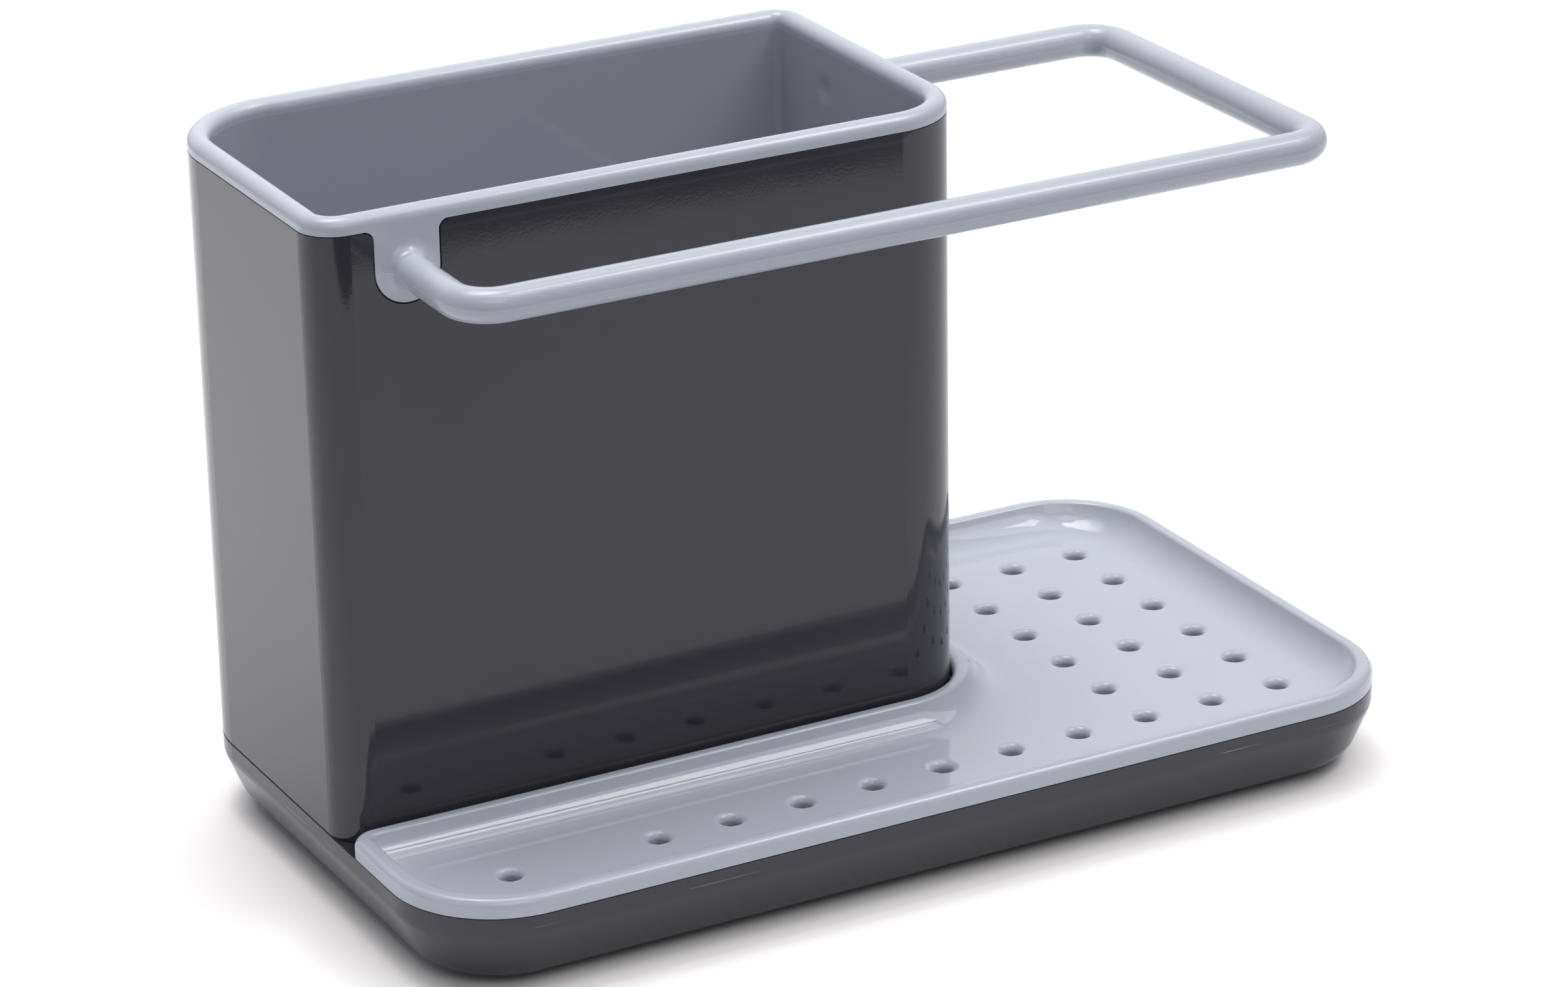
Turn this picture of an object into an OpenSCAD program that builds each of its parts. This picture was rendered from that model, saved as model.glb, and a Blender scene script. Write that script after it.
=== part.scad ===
// Kitchen sink caddy: a dark body with a reservoir pan, a lift-out cup insert
// with a towel rail, and an L-shaped draining tray that rests on the pan rim.
// Millimetres, origin at the bottom centre, X to the right, Y to the back.

/* [Pan] */
// Length of the pan, left to right
pan_l = 205; // [196:1:230]
// Depth of the pan, front to back
pan_d = 115; // [108:1:130]
// Height of the pan rim above the worktop
pan_h = 16; // [15:0.5:24]
// Corner radius of the pan in plan
pan_corner_r = 21; // [17:0.5:24]
// Wall and floor thickness of the body
body_wall = 2.2; // [1.6:0.1:2.6]
// Height of the upright belt below the pan rim
belt_h = 3; // [2:0.25:4]
// Radius that turns the belt into the sloping side
turn_r = 4; // [3:0.25:6]
// Slope of the pan side away from upright, degrees
side_slope = 22; // [12:1:30]
// Radius of the edge between the sloping side and the bottom
bottom_r = 7; // [5:0.25:8]

/* [Cup housing] */
// Length of the cup housing, left to right
cup_l = 133; // [110:1:145]
// Depth of the cup housing, front to back
cup_d = 73.5; // [62:0.5:78]
// Height of the housing's top edge above the worktop
cup_top = 132; // [110:1:160]
// Corner radius at the front left
front_left_r = 7; // [6:0.5:9]
// Corner radius at the front right
front_right_r = 16; // [10:0.5:20]
// Corner radius at the back right
back_right_r = 6; // [6:0.5:12]

/* [Insert] */
// Clearance between the insert and the housing
insert_gap = 0.4; // [0.3:0.05:0.8]
// Wall and floor thickness of the insert
insert_wall = 1.8; // [1.4:0.1:2.2]
// Height of the half-round rim
rim_h = 3; // [2.8:0.1:5]
// Outer radius of the insert's bottom edge
insert_edge_r = 3; // [2.2:0.1:3]
// Height of the sump between the pan floor and the insert
sump_h = 8; // [5:0.5:20]
// Diameter of the drain holes in the insert's floor
insert_hole_d = 5; // [3:0.5:7]
// Spacing of the drain holes in the insert's floor
insert_hole_pitch = 14.8; // [12:0.2:24]
// Least distance from a compartment's wall to a drain hole's centre
insert_hole_edge = 9; // [8:0.5:14]
// Distance from the housing's right side to the middle of the divider
divider_right = 32; // [26:0.1:60]
// Thickness of the divider
divider_t = 1.8; // [1.4:0.1:3]
// Depth of the divider's top edge below the rim's crest
divider_drop = 31.2; // [5:0.1:50]

/* [Tabs] */
// Width of the tabs that carry the rail
tab_w = 12.4; // [11:0.2:14]
// Radius between a tab's side and the rim
tab_fillet = 1.9; // [1:0.1:2.4]
// Clearance round a tab in its notch
tab_gap = 0.3; // [0.2:0.05:0.6]

/* [Towel rail] */
// Diameter of the rail
rail_d = 6.4; // [5:0.2:8]
// Depth of the rail's axis below the housing's top edge
rail_drop = 8; // [7.2:0.1:12]
// Distance from the housing's left side to the front root
rail_root_x = 17.6; // [17.6:0.1:40]
// Distance from the housing's front to the front arm's axis
rail_front_reach = 25.1; // [18:0.1:36]
// Distance from the housing's right side to the right arm's axis
rail_right_reach = 59.4; // [36:0.1:66]
// Distance from the back of the pan to the back arm's axis
rail_back_in = 20.2; // [17:0.1:38]
// Radius of the rail's bends, at its axis
rail_bend_r = 7; // [5:0.25:14]
// Radius of the flare where the rail leaves a tab
rail_flare_r = 2.6; // [1:0.1:3]

/* [Draining tray] */
// Thickness of the tray's floor and slopes
tray_t = 2.2; // [1.6:0.1:2.6]
// Height of the tray's rim above the pan rim
tray_rise = 3.5; // [3:0.1:5]
// Depth of the tray's floor below the pan rim
tray_floor_drop = 1.6; // [1:0.1:2.6]
// Radius of the hollow slope between the rim and the floor
cove_r = 8.6; // [7:0.1:10]
// Outer rounding of the rim
rim_outer_r = 1.8; // [1:0.1:2]
// Rounding of the rim towards the slope
rim_inner_r = 1; // [0.5:0.1:1.2]
// Clearance between the tray and the inside of the pan wall
tray_gap = 0.5; // [0.3:0.05:1]
// Clearance between the tray's lip and the cup housing
lip_gap = 0.4; // [0.3:0.05:1]
// Corner radius of the tray's two narrow ends
end_r = 5; // [4:0.5:7]
// Diameter of a funnel hole at the tray's surface
hole_mouth_d = 6.7; // [4.5:0.1:7.4]
// Diameter of a funnel hole's throat
hole_throat_d = 3.6; // [2.4:0.1:4]
// Spacing of the funnel holes
hole_pitch = 14.9; // [12:0.1:20]
// Distance from the pan's right edge to the first column of holes
hole_right = 18.4; // [17:0.1:24]
// Distance from the pan's front edge to the front row of holes
hole_front = 20.2; // [16:0.1:22]
// Least distance from the tray's left or back edge to a hole's centre
hole_end = 18; // [16:0.5:28]
// Least distance from the lip to a hole's centre
hole_lip = 14; // [13.5:0.5:20]
// Column of the front row that stays without a hole
bare_col = 10; // [0:1:11]

/* [Feet] */
// Diameter of a foot
foot_d = 12; // [8:0.5:16]
// Thickness of a foot
foot_t = 2; // [1.6:0.1:3]
// Height that a foot stands out of the pan's bottom
foot_stand = 1; // [0.6:0.1:1.2]
// Clearance round a foot in its pocket
foot_gap = 0.2; // [0.1:0.05:0.5]
// Chamfer on a foot's lower edge
foot_chamfer = 0.4; // [0.2:0.1:0.5]

/* [Hidden] */
$fn = 96;
// Overrun of every cut past the face that it opens
over = 1;
// Depth by which the pan's slope is drawn into its roundings, so that it crosses them
tuck = 0.002;
dark = [0.27, 0.27, 0.29];
light = [0.82, 0.84, 0.87];
rubber = [0.12, 0.12, 0.12];

// Heights and edges that the pieces share
belt_z = pan_h - belt_h;
floor_z = foot_stand + body_wall;
cup_front = pan_d - cup_d;
cup_radii = [front_left_r, front_right_r, back_right_r, pan_corner_r];
low_radii = [0, front_right_r, 0, pan_corner_r];
pan_radii = [pan_corner_r, pan_corner_r, pan_corner_r, pan_corner_r];

// Insert
insert_in = body_wall + insert_gap;
rim_w = insert_in + insert_wall;
insert_z = floor_z + sump_h;
insert_floor_z = insert_z + insert_wall;
crest_z = cup_top + rim_h;
divider_top = crest_z - divider_drop;
divider_x = cup_l - divider_right;
inner_edge_r = insert_edge_r - insert_wall;

// Rail
rail_z = cup_top - rail_drop;
rail_r = rail_d / 2;
tab_r = tab_w / 2;
rail_y = cup_front - rail_front_reach;
rail_x = cup_l + rail_right_reach;
rail_back_y = pan_d - rail_back_in;

// Draining tray
lip_y = cup_front - lip_gap;
lip_x = cup_l + lip_gap;
tray_z = pan_h - tray_floor_drop;
tray_crest = pan_h + tray_rise;
cove_z = tray_z + cove_r;
under_r = cove_r + tray_t;
slope_w = body_wall + tray_gap + sqrt(pow(under_r, 2) - pow(cove_z - pan_h, 2));
round_dz = cove_z - tray_crest + rim_inner_r;
round_ds = sqrt(pow(cove_r + rim_inner_r, 2) - pow(round_dz, 2));
round_share = cove_r / (cove_r + rim_inner_r);
hole_x = pan_l - hole_right;
front_cols = floor((hole_x - hole_end) / hole_pitch) + 1;
front_rows = floor((lip_y - hole_front - hole_lip) / hole_pitch) + 1;
side_cols = floor((hole_x - lip_x - hole_lip) / hole_pitch) + 1;
side_rows = floor((pan_d - hole_front - hole_end) / hole_pitch) + 1;

// Moves the pan's front left corner so that the origin is at the bottom centre
module centred() {
    translate([-pan_l / 2, -pan_d / 2, 0]) children();
}

// Plan outlines

module corner_cut(p, inward, r) {
    if (r > 0)
        translate(p) difference() {
            translate([inward[0] > 0 ? -over : -r, inward[1] > 0 ? -over : -r])
                square(r + over);
            translate([inward[0] * r, inward[1] * r]) circle(r);
        }
}

// Rectangle with a radius of its own at front left, front right, back right, back left
module rounded_plan(x0, x1, y0, y1, r) {
    difference() {
        translate([x0, y0]) square([x1 - x0, y1 - y0]);
        corner_cut([x0, y0], [1, 1], r[0]);
        corner_cut([x1, y0], [-1, 1], r[1]);
        corner_cut([x1, y1], [-1, -1], r[2]);
        corner_cut([x0, y1], [1, -1], r[3]);
    }
}

// Outline of the cup housing, drawn in by an inset
module cup_plan(inset, radii = cup_radii) {
    rounded_plan(inset, cup_l - inset, cup_front + inset, pan_d - inset,
                 [for (r = radii) max(r - inset, 0)]);
}

// Sweeping a side profile: its x runs inward from the outer edge and its y is height

module run(start, heading, length) {
    translate([start[0], start[1], 0]) rotate(heading) rotate([90, 0, 90])
        linear_extrude(length) children();
}

module turn(centre, from, r) {
    translate([centre[0], centre[1], 0]) rotate(from) rotate_extrude(angle = 90)
        intersection() {
            translate([r, 0]) mirror([1, 0]) children();
            square([r, crest_z + over]);
        }
}

module swept_round(x0, x1, y0, y1, r) {
    run([x0 + r[0], y0], 0, x1 - x0 - r[0] - r[1]) children();
    turn([x1 - r[1], y0 + r[1]], 270, r[1]) children();
    run([x1, y0 + r[1]], 90, y1 - y0 - r[1] - r[2]) children();
    turn([x1 - r[2], y1 - r[2]], 0, r[2]) children();
    run([x1 - r[2], y1], 180, x1 - x0 - r[2] - r[3]) children();
    turn([x0 + r[3], y1 - r[3]], 90, r[3]) children();
    run([x0, y1 - r[3]], 270, y1 - y0 - r[3] - r[0]) children();
    turn([x0 + r[0], y0 + r[0]], 180, r[0]) children();
}

// Pan: upright belt, sloping side and rounded bottom edge

turn_end = [turn_r * (1 - cos(side_slope)), belt_z - turn_r * sin(side_slope)];
slope_end_z = foot_stand + bottom_r * (1 - sin(side_slope));
slope_end_s = turn_end[0] + (turn_end[1] - slope_end_z) * tan(side_slope);
bottom_c = [slope_end_s + bottom_r * cos(side_slope), foot_stand + bottom_r];

module pan_side(inset, top) {
    a = [-cos(side_slope), -sin(side_slope)];
    polygon([[inset, top], [inset, belt_z],
             [turn_r, belt_z] + (turn_r - inset - tuck) * a,
             bottom_c + (bottom_r - inset - tuck) * a,
             [bottom_c[0], foot_stand + inset],
             [pan_corner_r, foot_stand + inset],
             [pan_corner_r, top]]);
    intersection() {
        union() {
            translate([turn_r, belt_z]) circle(turn_r - inset);
            translate(bottom_c) circle(bottom_r - inset);
        }
        translate([inset, 0]) square([pan_corner_r - inset, top]);
    }
}

module pan_solid(inset, top) {
    swept_round(0, pan_l, 0, pan_d, pan_radii) pan_side(inset, top);
    translate([pan_corner_r, pan_corner_r, foot_stand + inset])
        cube([pan_l - 2 * pan_corner_r, pan_d - 2 * pan_corner_r, top - foot_stand - inset]);
}

// Outline of a rail tab about the rail's axis, grown by its clearance in the notch
module tab_plan(grow, top) {
    w = tab_r + grow;
    circle(w);
    translate([-w, 0]) square([2 * w, top - rail_z]);
    for (side = [-1, 1])
        scale([side, 1]) difference() {
            translate([0, rail_drop - tab_fillet]) square([tab_r + tab_fillet, top - cup_top + tab_fillet]);
            translate([tab_r + tab_fillet, rail_drop - tab_fillet]) circle(tab_fillet - grow);
            translate([tab_r + tab_fillet, rail_drop - tab_fillet])
                square([tab_fillet, top - cup_top + tab_fillet + over]);
        }
}

module front_tab(grow, top, from, depth) {
    translate([rail_root_x, cup_front + from + depth, rail_z]) rotate([90, 0, 0])
        linear_extrude(depth) tab_plan(grow, top);
}

module right_tab(grow, top, from, depth) {
    translate([cup_l - from - depth, rail_back_y, rail_z]) rotate([90, 0, 90])
        linear_extrude(depth) tab_plan(grow, top);
}

module foot_places() {
    for (x = [pan_corner_r, pan_l - pan_corner_r])
        for (y = [pan_corner_r, pan_d - pan_corner_r])
            translate([x, y, 0]) children();
}

module base_body() {
    color(dark) centred() difference() {
        union() {
            pan_solid(0, pan_h);
            translate([0, 0, pan_h]) linear_extrude(cup_top - pan_h) cup_plan(0);
        }
        translate([0, 0, pan_h]) linear_extrude(cup_top - pan_h + over) cup_plan(body_wall);
        difference() {
            pan_solid(body_wall, pan_h + over);
            translate([0, 0, foot_stand]) linear_extrude(pan_h + over) difference() {
                cup_plan(0, low_radii);
                cup_plan(body_wall);
            }
        }
        front_tab(tab_gap, cup_top + over, -over, body_wall + 2 * over);
        right_tab(tab_gap, cup_top + over, -over, body_wall + 2 * over);
        foot_places() translate([0, 0, foot_stand - over])
            cylinder(h = foot_t - foot_stand + over, r = foot_d / 2 + foot_gap);
    }
}

// Section of the insert's wall and rounded bottom edge
module insert_side() {
    translate([insert_in, insert_z + insert_edge_r])
        square([insert_wall, cup_top - insert_z - insert_edge_r]);
    intersection() {
        translate([insert_in + insert_edge_r, insert_z + insert_edge_r]) difference() {
            circle(insert_edge_r);
            circle(inner_edge_r);
        }
        translate([insert_in, insert_z]) square(insert_edge_r);
    }
}

// Section of the half-round rim that rests on the housing
module rim_side() {
    rim_straight = rim_h - rim_w / 2;
    translate([0, cup_top]) square([rim_w, rim_straight]);
    intersection() {
        translate([rim_w / 2, cup_top + rim_straight]) circle(rim_w / 2);
        translate([0, cup_top + rim_straight]) square([rim_w, rim_w]);
    }
}

module compartment_holes(x0, x1) {
    y0 = cup_front + rim_w;
    y1 = pan_d - rim_w;
    nx = floor((x1 - x0 - 2 * insert_hole_edge) / insert_hole_pitch) + 1;
    ny = floor((y1 - y0 - 2 * insert_hole_edge) / insert_hole_pitch) + 1;
    for (i = [0 : nx - 1])
        for (j = [0 : ny - 1])
            translate([(x0 + x1) / 2 + (i - (nx - 1) / 2) * insert_hole_pitch,
                       (y0 + y1) / 2 + (j - (ny - 1) / 2) * insert_hole_pitch,
                       insert_z - over])
                cylinder(h = insert_wall + 2 * over, d = insert_hole_d);
}

module insert() {
    color(light) centred() {
        swept_round(0, cup_l, cup_front, pan_d, cup_radii) insert_side();
        difference() {
            translate([0, 0, insert_z]) linear_extrude(insert_wall)
                cup_plan(insert_in + insert_edge_r);
            compartment_holes(rim_w, divider_x - divider_t / 2);
            compartment_holes(divider_x + divider_t / 2, cup_l - rim_w);
        }
    }
}

module insert_rim() {
    color(light) centred() {
        swept_round(0, cup_l, cup_front, pan_d, cup_radii) rim_side();
        front_tab(0, cup_top, 0, insert_in);
        right_tab(0, cup_top, 0, insert_in);
    }
}

module divider() {
    d = cup_d - 2 * rim_w;
    h = divider_top - insert_floor_z;
    color(light) centred() translate([divider_x, cup_front + rim_w, insert_floor_z])
        intersection() {
            translate([-divider_t / 2, 0, 0]) rotate([90, 0, 90]) linear_extrude(divider_t)
                rounded_plan(0, d, 0, h, [inner_edge_r, inner_edge_r, 0, 0]);
            translate([0, d, 0]) rotate([90, 0, 0]) linear_extrude(d) {
                translate([-divider_t / 2, 0]) square([divider_t, h - divider_t / 2]);
                translate([0, h - divider_t / 2]) circle(divider_t / 2);
            }
        }
}

// Straight length of the rail from a point along a heading
module rail_arm(start, heading, length) {
    translate([start[0], start[1], rail_z]) rotate(heading) rotate([0, 90, 0])
        cylinder(h = length, r = rail_r);
}

module rail_bend(centre, from) {
    translate([centre[0], centre[1], rail_z]) rotate(from) rotate_extrude(angle = 90)
        translate([rail_bend_r, 0]) circle(rail_r);
}

// Flared root of the rail on a tab's face
module rail_root(start, heading) {
    translate([start[0], start[1], rail_z]) rotate(heading) rotate([0, 90, 0])
        rotate_extrude() difference() {
            square([rail_r + rail_flare_r, rail_flare_r]);
            translate([rail_r + rail_flare_r, rail_flare_r]) circle(rail_flare_r);
        }
}

module towel_rail() {
    color(light) centred() {
        rail_root([rail_root_x, cup_front], 270);
        rail_arm([rail_root_x, cup_front], 270, rail_front_reach - rail_bend_r);
        rail_bend([rail_root_x + rail_bend_r, rail_y + rail_bend_r], 180);
        rail_arm([rail_root_x + rail_bend_r, rail_y], 0, rail_x - rail_root_x - 2 * rail_bend_r);
        rail_bend([rail_x - rail_bend_r, rail_y + rail_bend_r], 270);
        rail_arm([rail_x, rail_y + rail_bend_r], 90, rail_back_y - rail_y - 2 * rail_bend_r);
        rail_bend([rail_x - rail_bend_r, rail_back_y - rail_bend_r], 0);
        rail_arm([rail_x - rail_bend_r, rail_back_y], 180, rail_right_reach - rail_bend_r);
        rail_root([cup_l, rail_back_y], 0);
    }
}

// Section of the tray's edge: rounded rim, hollow slope and a tongue of the floor
module tray_side() {
    centre = [slope_w, cove_z];
    small = [slope_w - round_ds, tray_crest - rim_inner_r];
    touch = centre + (small - centre) * round_share;
    difference() {
        union() {
            translate([0, pan_h]) square([slope_w, tray_rise - rim_outer_r]);
            translate([rim_outer_r, pan_h]) square([small[0] - rim_outer_r, tray_rise]);
            translate([rim_outer_r, pan_h]) square([slope_w - rim_outer_r, touch[1] - pan_h]);
            intersection() {
                translate([rim_outer_r, tray_crest - rim_outer_r]) circle(rim_outer_r);
                translate([0, tray_crest - rim_outer_r]) square(rim_outer_r);
            }
            translate(small) circle(rim_inner_r);
            intersection() {
                translate(centre) circle(under_r);
                translate([0, tray_z - tray_t]) square([slope_w, pan_h - tray_z + tray_t]);
            }
        }
        translate(centre) circle(cove_r);
    }
    translate([slope_w, tray_z - tray_t]) square([over, tray_t]);
}

// Half of a narrow end's mitre, taken off a run beyond the corner's centre
module mitre_off(centre, toward, across) {
    w = slope_w + over - end_r;
    linear_extrude(crest_z) polygon([centre, centre + w * toward, centre + w * (toward + across)]);
}

module tray_edge() {
    left_end = [end_r, lip_y - end_r];
    back_end = [lip_x + end_r, pan_d - end_r];
    cup_c = [cup_l - front_right_r, cup_front + front_right_r];
    difference() {
        run([0, left_end[1]], 270, left_end[1] - pan_corner_r) tray_side();
        mitre_off(left_end, [1, 0], [0, -1]);
    }
    turn([pan_corner_r, pan_corner_r], 180, pan_corner_r) tray_side();
    run([pan_corner_r, 0], 0, pan_l - 2 * pan_corner_r) tray_side();
    turn([pan_l - pan_corner_r, pan_corner_r], 270, pan_corner_r) tray_side();
    run([pan_l, pan_corner_r], 90, pan_d - 2 * pan_corner_r) tray_side();
    turn([pan_l - pan_corner_r, pan_d - pan_corner_r], 0, pan_corner_r) tray_side();
    difference() {
        run([pan_l - pan_corner_r, pan_d], 180, pan_l - pan_corner_r - back_end[0]) tray_side();
        mitre_off(back_end, [0, -1], [1, 0]);
    }
    turn(back_end, 90, end_r) tray_side();
    difference() {
        run([lip_x, back_end[1]], 270, back_end[1] - cup_c[1]) tray_side();
        mitre_off(back_end, [1, 0], [0, -1]);
    }
    translate([cup_c[0], cup_c[1], 0]) rotate(270) rotate_extrude(angle = 90)
        translate([front_right_r + lip_gap, 0]) tray_side();
    difference() {
        run([cup_c[0], lip_y], 180, cup_c[0] - left_end[0]) tray_side();
        mitre_off(left_end, [0, -1], [1, 0]);
    }
    turn(left_end, 90, end_r) tray_side();
}

module tray_floor_plan() {
    difference() {
        rounded_plan(slope_w, pan_l - slope_w, slope_w, pan_d - slope_w,
                     [for (r = pan_radii) r - slope_w]);
        rounded_plan(0, lip_x + slope_w, lip_y - slope_w, pan_d + over,
                     [0, front_right_r + lip_gap + slope_w, 0, 0]);
    }
}

// Funnel hole: a throat with a mouth rounded over from the tray's surface
module funnel() {
    round_r = (hole_mouth_d - hole_throat_d) / 2;
    translate([0, 0, tray_z]) rotate_extrude() {
        translate([0, -tray_t - over]) square([hole_throat_d / 2, tray_t + 2 * over]);
        difference() {
            translate([0, -round_r]) square([hole_mouth_d / 2, round_r]);
            translate([hole_mouth_d / 2, -round_r]) circle(round_r);
        }
        square([hole_mouth_d / 2, over]);
    }
}

module drain_tray() {
    color(light) centred() difference() {
        union() {
            tray_edge();
            translate([0, 0, tray_z - tray_t]) linear_extrude(tray_t) tray_floor_plan();
        }
        for (i = [0 : front_cols - 1])
            for (j = [0 : side_rows - 1])
                if ((i < side_cols || j < front_rows) && (i != bare_col || j > 0))
                    translate([hole_x - i * hole_pitch, hole_front + j * hole_pitch, 0]) funnel();
    }
}

module foot(x, y) {
    color(rubber) centred() translate([x, y, 0]) {
        cylinder(h = foot_chamfer, r1 = foot_d / 2 - foot_chamfer, r2 = foot_d / 2);
        translate([0, 0, foot_chamfer]) cylinder(h = foot_t - foot_chamfer, d = foot_d);
    }
}

module foot_front_left() {
    foot(pan_corner_r, pan_corner_r);
}

module foot_front_right() {
    foot(pan_l - pan_corner_r, pan_corner_r);
}

module foot_back_left() {
    foot(pan_corner_r, pan_d - pan_corner_r);
}

module foot_back_right() {
    foot(pan_l - pan_corner_r, pan_d - pan_corner_r);
}

base_body();
insert();
insert_rim();
divider();
towel_rail();
drain_tray();
foot_front_left();
foot_front_right();
foot_back_left();
foot_back_right();
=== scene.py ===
import math

import bpy
from mathutils import Euler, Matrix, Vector


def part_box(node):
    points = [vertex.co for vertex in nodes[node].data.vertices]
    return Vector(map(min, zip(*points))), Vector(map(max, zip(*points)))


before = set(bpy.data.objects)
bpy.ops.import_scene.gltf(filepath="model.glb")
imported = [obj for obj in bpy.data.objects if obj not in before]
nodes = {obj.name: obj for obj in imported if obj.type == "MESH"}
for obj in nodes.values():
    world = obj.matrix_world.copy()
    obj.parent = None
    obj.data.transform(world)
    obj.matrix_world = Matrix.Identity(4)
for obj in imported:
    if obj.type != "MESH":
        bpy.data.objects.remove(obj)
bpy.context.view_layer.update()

scene = bpy.context.scene

# ---------------------------------------------------------------- places on the part, in metres
HOUSING_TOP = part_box("base_body")[1].z
RAIL_HEIGHT = sum(corner.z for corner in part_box("towel_rail")) / 2
INSERT_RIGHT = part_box("insert")[1].x
INSERT_WALL = 0.0018
PAN_TOP = 0.016
PAN_SEAM_DROP = 0.0024  # the pan's parting line, under its top edge
SINK_Y = 0.0350  # the sink mark inside the cup's right wall
SINK_DROP = 0.0077  # and how far under the housing's top edge it lies

# ---------------------------------------------------------------- colours, linear
LIGHT = (0.475, 0.497, 0.556)
# the cup's walls: the insert's light plastic painted 15% darker, a painted shade for the inside of
# the cup
LIGHT_CUP_PAINTED_SHADE = tuple(0.85 * c for c in LIGHT)
DARK = (0.033, 0.0305, 0.040)
RUBBER = (0.03, 0.03, 0.031)
# parting line colours: lighter than the plastic, a painted glint on the lines' fine raised ridges
PAN_SEAM_PAINTED_GLINT = (0.30, 0.30, 0.32)
RAIL_SEAM_PAINTED_GLINT = (0.72, 0.74, 0.79)
JOINT_SHADE = (0.002, 0.002, 0.002)

# ---------------------------------------------------------------- camera
CAMERA_AT = (-0.43365, -0.80664, 0.43015)
CAMERA_TURN = (68.1769, 0.8595, -28.7118)  # degrees: up from straight down, roll, heading
FOCAL_MM = 120.34
SENSOR_MM = 36.0
FRAME_SHIFT = (-0.01403, -0.01607)


def photo_camera():
    """Camera at the photograph's angle and framing."""
    lens = bpy.data.cameras.new("photo_view")
    lens.sensor_fit = "HORIZONTAL"
    lens.sensor_width = SENSOR_MM
    lens.lens = FOCAL_MM
    lens.shift_x, lens.shift_y = FRAME_SHIFT
    lens.clip_start = 0.01
    lens.clip_end = 30.0
    lens.dof.use_dof = False
    camera = bpy.data.objects.new("photo_view", lens)
    camera.location = CAMERA_AT
    camera.rotation_euler = Euler([math.radians(angle) for angle in CAMERA_TURN], "XYZ")
    scene.collection.objects.link(camera)
    return camera


scene.camera = photo_camera()
scene.view_settings.view_transform = "Standard"

# ---------------------------------------------------------------- node helpers
MIX_A, MIX_B, MIX_RESULT = 6, 7, 2  # the colour sockets of a Mix node, whose names repeat


def new_material(name):
    material = bpy.data.materials.new(name)
    material.use_nodes = True
    material.node_tree.nodes.clear()
    return material


def add(tree, kind, **values):
    """New node, with each value set on the input of that name, or else as a property."""
    node = tree.nodes.new(kind)
    for key, value in values.items():
        if key in node.inputs:
            node.inputs[key].default_value = value
        else:
            setattr(node, key, value)
    return node


def maths(tree, operation, a, b=None):
    """One step of arithmetic on sockets or plain numbers."""
    node = add(tree, "ShaderNodeMath", operation=operation)
    for place, value in enumerate((a, b)):
        if isinstance(value, (int, float)):
            node.inputs[place].default_value = value
        elif value is not None:
            tree.links.new(value, node.inputs[place])
    return node.outputs[0]


def measure(tree, operation, vector, other=None):
    """A vector's length, or its distance from or dot product with another one."""
    node = add(tree, "ShaderNodeVectorMath", operation=operation)
    tree.links.new(vector, node.inputs[0])
    if other is not None:
        node.inputs[1].default_value = other
    return node.outputs["Value"]


def component(tree, vector, axis):
    node = add(tree, "ShaderNodeSeparateXYZ")
    tree.links.new(vector, node.inputs[0])
    return node.outputs[axis]


def spread(tree, value, lo, hi, a=0.0, b=1.0, smooth=True):
    """The value's stretch from lo to hi, mapped to a to b and held there beyond its ends."""
    node = add(tree, "ShaderNodeMapRange", interpolation_type="SMOOTHSTEP" if smooth else "LINEAR")
    tree.links.new(value, node.inputs["Value"])
    node.inputs["From Min"].default_value = lo
    node.inputs["From Max"].default_value = hi
    node.inputs["To Min"].default_value = a
    node.inputs["To Max"].default_value = b
    return node.outputs["Result"]


def noise(tree, where, scale, detail, stretch=None):
    node = add(tree, "ShaderNodeTexNoise", Scale=scale, Detail=detail, Roughness=0.55)
    if stretch:
        mapping = add(tree, "ShaderNodeMapping")
        mapping.inputs["Scale"].default_value = stretch
        tree.links.new(where, mapping.inputs["Vector"])
        where = mapping.outputs["Vector"]
    tree.links.new(where, node.inputs["Vector"])
    return node.outputs["Fac"]


def ramp(tree, share, ends):
    """Colour that goes from the first end to the second, each a place and a colour."""
    node = add(tree, "ShaderNodeValToRGB")
    for element, (place, colour) in zip(node.color_ramp.elements, ends):
        element.position = place
        element.color = (*colour, 1)
    tree.links.new(share, node.inputs["Fac"])
    return node.outputs["Color"]


def tinted(tree, under, share, colour):
    """The colour under it, mixed towards another one by the given share."""
    node = add(tree, "ShaderNodeMix", data_type="RGBA", blend_type="MIX")
    tree.links.new(share, node.inputs["Factor"])
    tree.links.new(under, node.inputs[MIX_A])
    node.inputs[MIX_B].default_value = (*colour, 1)
    return node.outputs[MIX_RESULT]


def mixed_shader(tree, share, a, b):
    node = add(tree, "ShaderNodeMixShader")
    for socket, value in zip(node.inputs, (share, a, b)):
        tree.links.new(value, socket)
    return node.outputs["Shader"]


# ---------------------------------------------------------------- plastic
PLASTIC_IOR = 1.52
NOISE_BAND = (0.3, 0.7)  # the noise values between which a tone or polish goes end to end
MOTTLE = dict(scale=38.0, detail=4.0)
POLISH = dict(scale=90.0, detail=5.0)
GRAIN = dict(scale=1800.0, detail=2.0)
WAVE = dict(scale=20.0, detail=1.0)
POLISH_SHARES = (0.75, 1.3)  # least and most of the given roughness
GRAIN_RISE = 0.00002
WAVE_RISE = 0.0006
SEAM_CORE = 0.3  # share of a parting line's half width that has its full strength
SEAM_BREAKS = (0.50, 0.60)
SEAM_STRETCH = (1, 1, 0.02)  # breaks run across the line, so they hardly change with height
SHADE_REACH = (0.00015, 0.00030)
SHADE_ROUGH = 0.9
UPRIGHT = (0.3, 0.6)  # slope of the normal from which a face counts less and less as upright


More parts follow.
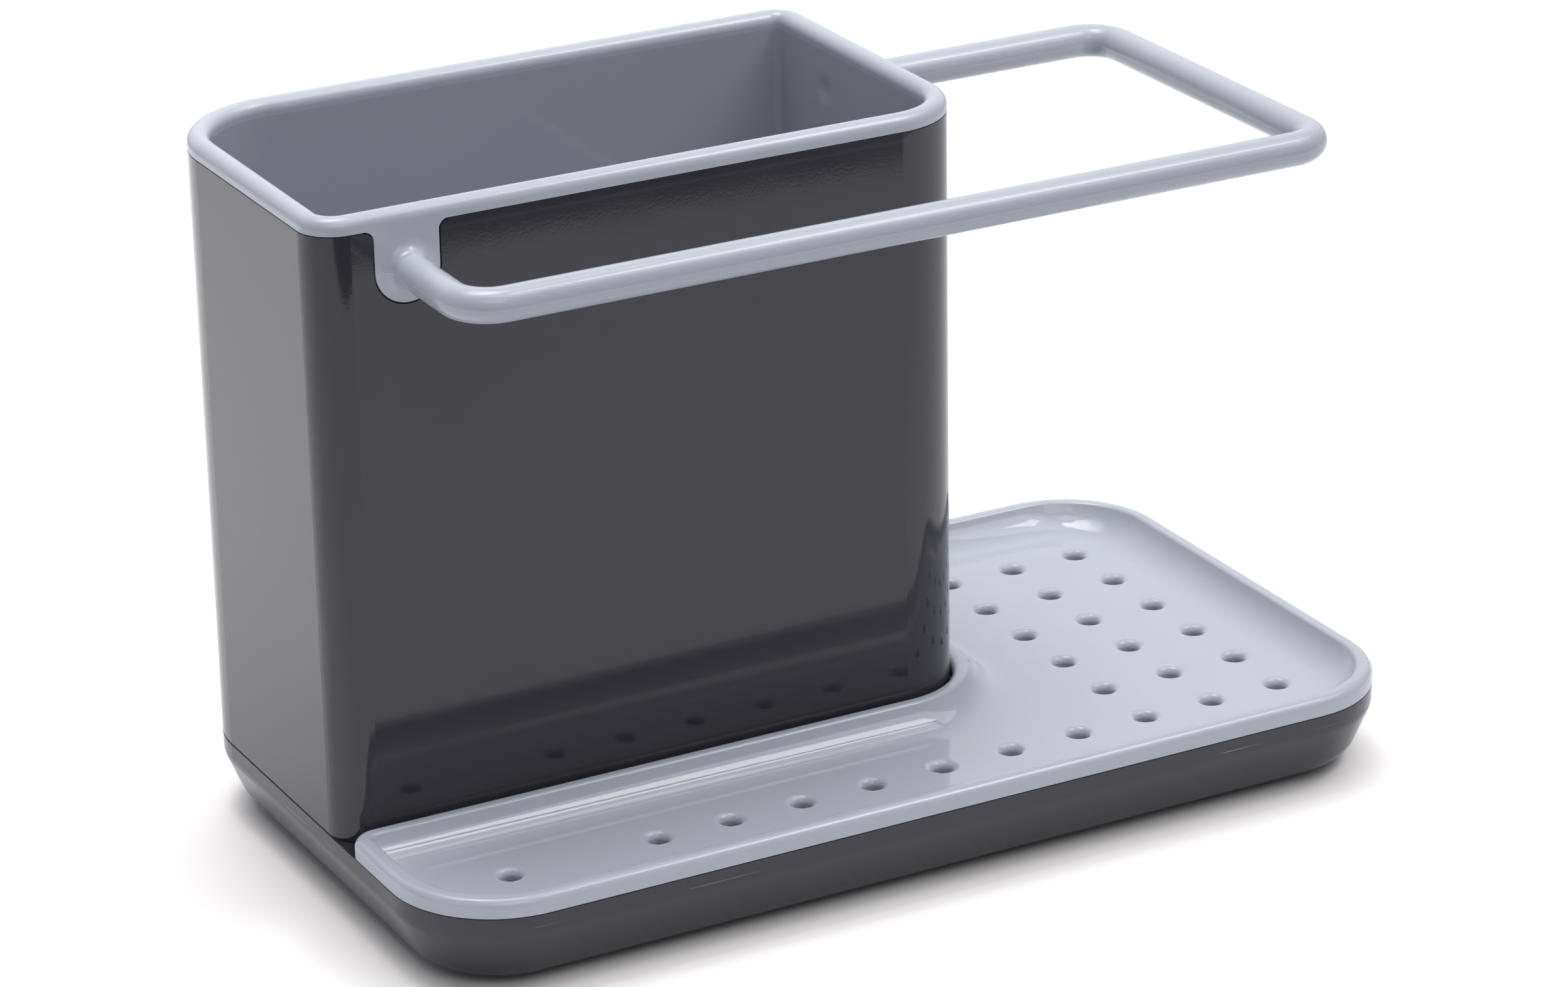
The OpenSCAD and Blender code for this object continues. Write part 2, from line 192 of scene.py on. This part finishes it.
def parting_line(tree, where, z, half, broken=None):
    """Share of a thin line round the part at one height, broken here and there where asked."""
    off = maths(tree, "ABSOLUTE", maths(tree, "SUBTRACT", component(tree, where, "Z"), z))
    line = spread(tree, off, half * SEAM_CORE, half, 1.0, 0.0)
    if broken:
        breaks = spread(tree, noise(tree, where, broken, 3.0, SEAM_STRETCH), *SEAM_BREAKS)
        line = maths(tree, "MULTIPLY", line, breaks)
    return line


def joint_shade(tree, coords, z):
    """Share of the shade of a joint at one height, on upright faces only."""
    lean = maths(tree, "ABSOLUTE", component(tree, coords.outputs["Normal"], "Z"))
    upright = spread(tree, lean, *UPRIGHT, 1.0, 0.0)
    height = component(tree, coords.outputs["Object"], "Z")
    off = maths(tree, "ABSOLUTE", maths(tree, "SUBTRACT", height, z))
    return maths(tree, "MULTIPLY", spread(tree, off, *SHADE_REACH, 1.0, 0.0), upright)


def plastic(name, colour, rough, mottle=0.012, grain=0.15, wave=0.10, seam=None, sink=None,
            joints=()):
    """Moulded plastic: faint mottling, polish that varies, a fine grain and a slow waviness in
    the surface, and where asked a parting line at one height, a fine ridge tinted lighter as a
    painted glint, a sink mark at one point and the shade of joints at given heights."""
    material = new_material(name)
    t = material.node_tree
    coords = add(t, "ShaderNodeTexCoord")
    where = coords.outputs["Object"]

    tones = [[min(1.0, c * (1 + side * mottle)) for c in colour] for side in (-1, 1)]
    shown = ramp(t, noise(t, where, **MOTTLE), list(zip(NOISE_BAND, tones)))
    polish = [rough * share for share in POLISH_SHARES]
    dull = spread(t, noise(t, where, **POLISH), *NOISE_BAND, *polish, smooth=False)
    height = maths(t, "ADD",
                   maths(t, "MULTIPLY", noise(t, where, **GRAIN), grain * GRAIN_RISE),
                   maths(t, "MULTIPLY", noise(t, where, **WAVE), wave * WAVE_RISE))
    if seam:
        line = parting_line(t, where, seam["z"], seam["half"], seam.get("broken"))
        height = maths(t, "ADD", height, maths(t, "MULTIPLY", line, seam["rise"]))
        # the line tinted lighter: a painted glint on the ridge that the height above raises
        shown = tinted(t, shown, maths(t, "MULTIPLY", line, seam["tint"]), seam["colour"])
    for z in joints:
        shade = joint_shade(t, coords, z)
        shown = tinted(t, shown, shade, JOINT_SHADE)
        dull = maths(t, "MAXIMUM", dull, maths(t, "MULTIPLY", shade, SHADE_ROUGH))
    if sink:
        off = measure(t, "DISTANCE", where, sink["at"])
        height = maths(t, "ADD", height, spread(t, off, 0.0, sink["r"], -sink["deep"], 0.0))

    bump = add(t, "ShaderNodeBump", Strength=1.0, Distance=1.0)
    bsdf = add(t, "ShaderNodeBsdfPrincipled", IOR=PLASTIC_IOR)
    out = add(t, "ShaderNodeOutputMaterial")
    t.links.new(height, bump.inputs["Height"])
    t.links.new(bump.outputs["Normal"], bsdf.inputs["Normal"])
    t.links.new(shown, bsdf.inputs["Base Color"])
    t.links.new(dull, bsdf.inputs["Roughness"])
    t.links.new(bsdf.outputs["BSDF"], out.inputs["Surface"])
    return material


# parting lines: a real fine ridge in the bump, and a lighter tint that is a painted glint
PAN_SEAM = dict(z=PAN_TOP - PAN_SEAM_DROP, half=0.00012, rise=0.00003, tint=0.9,
                colour=PAN_SEAM_PAINTED_GLINT, broken=26.0)
BAR_SEAM = dict(z=RAIL_HEIGHT, half=0.00012, rise=0.00002, tint=0.35, colour=RAIL_SEAM_PAINTED_GLINT)
SINK_MARK = dict(at=(INSERT_RIGHT - INSERT_WALL, SINK_Y, HOUSING_TOP - SINK_DROP),
                 r=0.0036, deep=0.0003)

dark = plastic("dark_gloss", DARK, 0.06, mottle=0.05, seam=PAN_SEAM,
               joints=(PAN_TOP, HOUSING_TOP))
light = plastic("light_gloss", LIGHT, 0.085)
tray = plastic("light_gloss_tray", LIGHT, 0.05, grain=0.12)
# painted shade: the cup's walls are the same light plastic as the rim, painted darker
cup = plastic("light_gloss_cup_painted_shade", LIGHT_CUP_PAINTED_SHADE, 0.07, wave=0.12, sink=SINK_MARK)
rail = plastic("light_gloss_rail", LIGHT, 0.13, wave=0.08, seam=BAR_SEAM)
rubber = plastic("rubber", RUBBER, 0.6, mottle=0.10, grain=0.8, wave=0.2)

LOOKS = {
    "base_body": dark,
    "insert": cup,
    "insert_rim": light,
    "divider": light,
    "towel_rail": rail,
    "drain_tray": tray,
}
WELD_REACH = 1e-7


def dress(piece, material):
    """Material on a CAD piece, its split vertices joined and its shading evened."""
    piece.data.materials.clear()
    piece.data.materials.append(material)
    weld = piece.modifiers.new("join", "WELD")
    weld.merge_threshold = WELD_REACH
    even = piece.modifiers.new("even", "WEIGHTED_NORMAL")
    even.mode = "FACE_AREA"
    even.weight = 100
    even.keep_sharp = True


for node_name, piece in nodes.items():
    dress(piece, LOOKS.get(node_name, rubber))  # the feet have no look of their own

# ---------------------------------------------------------------- floor
FLOOR_HALF = 4.0
FLOOR_SEEN = (1.11, 1.085, 1.08, 1)
WHITE_FROM = (0.28, 0.6)  # radius over which the seen floor turns into plain white
TABLE = (0.93, 0.93, 0.95)
STUDIO = (0.12, 0.12, 0.12)
TABLE_FRONT = (-0.350, -0.343)  # y over which the lit table ends


def floor_piece():
    """White table: full white to the camera, and in reflections and as a source of light its
    front ends in a darker studio."""
    mesh = bpy.data.meshes.new("floor")
    corners = [(x * FLOOR_HALF, y * FLOOR_HALF, 0) for x, y in ((-1, -1), (1, -1), (1, 1), (-1, 1))]
    mesh.from_pydata(corners, [], [(0, 1, 2, 3)])
    floor = bpy.data.objects.new("floor", mesh)
    scene.collection.objects.link(floor)

    material = new_material("pale_floor")
    t = material.node_tree
    where = add(t, "ShaderNodeTexCoord").outputs["Object"]
    seen = add(t, "ShaderNodeBsdfDiffuse", Color=FLOOR_SEEN)
    white = add(t, "ShaderNodeEmission", Strength=1.0)
    far = spread(t, measure(t, "LENGTH", where), *WHITE_FROM)
    to_camera = mixed_shader(t, far, seen.outputs["BSDF"], white.outputs["Emission"])
    table = add(t, "ShaderNodeBsdfDiffuse")
    lit = spread(t, component(t, where, "Y"), *TABLE_FRONT)
    t.links.new(ramp(t, lit, [(0.0, STUDIO), (1.0, TABLE)]), table.inputs["Color"])
    by_camera = add(t, "ShaderNodeLightPath").outputs["Is Camera Ray"]
    out = add(t, "ShaderNodeOutputMaterial")
    t.links.new(mixed_shader(t, by_camera, table.outputs["BSDF"], to_camera),
                out.inputs["Surface"])
    mesh.materials.append(material)


floor_piece()

# ---------------------------------------------------------------- light
GLOW_TOWARDS = Vector((0.26, 0.85, 0.42)).normalized()  # behind the part, to the right and up
GLOW_EDGES = (0.45, 0.98)  # cosines of the angle off that direction
GLOW_LEVELS = (0.20, 0.98)
GLOW_COLOUR = (0.985, 0.985, 1.03, 1)


def area(name, where, aim, size, watts, cone=180.0):
    """Rectangular lamp at a place, aimed at a point, with its cone of light in degrees."""
    lamp = bpy.data.lights.new(name, "AREA")
    lamp.shape = "RECTANGLE"
    lamp.size, lamp.size_y = size
    lamp.energy = watts
    lamp.spread = math.radians(cone)
    holder = bpy.data.objects.new(name, lamp)
    holder.location = where
    towards = Vector(aim) - Vector(where)
    holder.rotation_euler = towards.to_track_quat("-Z", "Y").to_euler()
    scene.collection.objects.link(holder)


def studio_world():
    """White behind the part to the camera, and a soft glow behind it for everything else."""
    world = bpy.data.worlds.new("studio")
    world.use_nodes = True
    t = world.node_tree
    t.nodes.clear()
    direction = add(t, "ShaderNodeTexCoord").outputs["Generated"]
    seen = add(t, "ShaderNodeBackground", Color=(1, 1, 1, 1), Strength=1.0)
    glow = add(t, "ShaderNodeBackground", Color=GLOW_COLOUR)
    facing = measure(t, "DOT_PRODUCT", direction, GLOW_TOWARDS)
    t.links.new(spread(t, facing, *GLOW_EDGES, *GLOW_LEVELS), glow.inputs["Strength"])
    by_camera = add(t, "ShaderNodeLightPath").outputs["Is Camera Ray"]
    out = add(t, "ShaderNodeOutputWorld")
    t.links.new(mixed_shader(t, by_camera, glow.outputs["Background"], seen.outputs["Background"]),
                out.inputs["Surface"])
    return world


area("key", where=(0.70, -0.38, 1.38), aim=(0, 0, 0.05), size=(0.45, 0.34), watts=2.4)
area("top_softbox", where=(0.37, -0.18, 1.45), aim=(0, 0, 0), size=(1.25, 1.9), watts=14.0)
area("front_fill", where=(-0.30, -1.05, 1.10), aim=(0, 0, 0), size=(0.9, 0.6), watts=2.8)
area("floor_wash", where=(-0.21, 0.30, 0.9), aim=(-0.21, 0.30, 0), size=(0.7, 0.6), watts=1.3,
     cone=70.0)
scene.world = studio_world()
